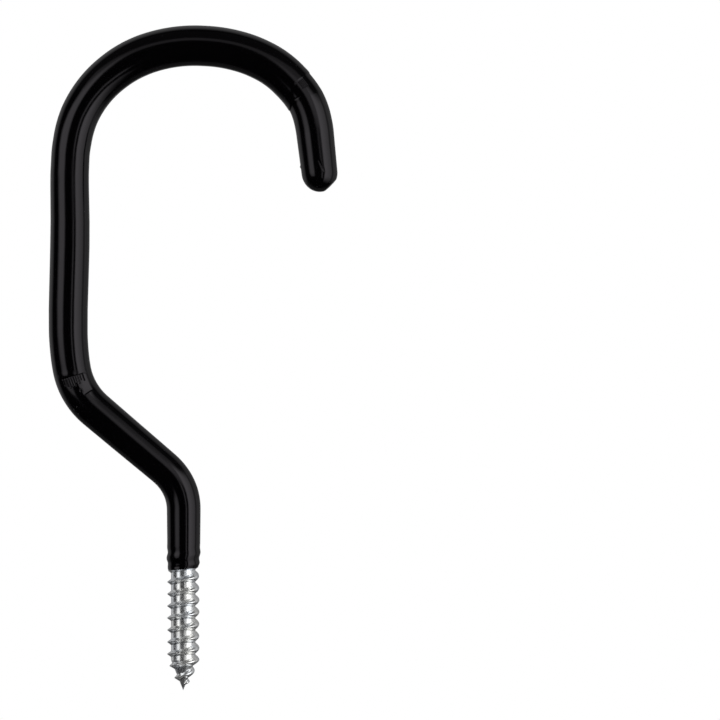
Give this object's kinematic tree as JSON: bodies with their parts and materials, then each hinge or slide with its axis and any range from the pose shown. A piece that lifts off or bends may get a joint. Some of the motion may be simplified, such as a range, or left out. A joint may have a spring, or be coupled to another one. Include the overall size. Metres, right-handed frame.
{
  "type": "bicycle storage hook",
  "caption": "Screw-in hook of bent steel rod in black dipped vinyl, with a coarse wood-screw thread, an offset neck and a wide open crown that holds a bicycle by its wheel.",
  "frame": {"origin": "on the screw's axis at the face of the timber, where the vinyl ends and the bare thread begins", "axes": "the screw points down -Z into the timber, the hook stands up +Z out of it, the rod lies in the XZ plane and the mouth opens towards +X. For a ceiling joist the part is turned over, for a wall stud it is laid on its side"},
  "size_m": [0.072, 0.0102, 0.1663],
  "materials": {
    "zinc_steel": "bright zinc plating over rolled steel, with small scuffs from handling",
    "black_vinyl": "smooth gloss dipped vinyl, with faint tool marks at the bends and a ragged dip line"
  },
  "bodies": {
    "root": {"steel_rod": "zinc_steel", "vinyl_coating": "black_vinyl"}
  },
  "joints": []
}
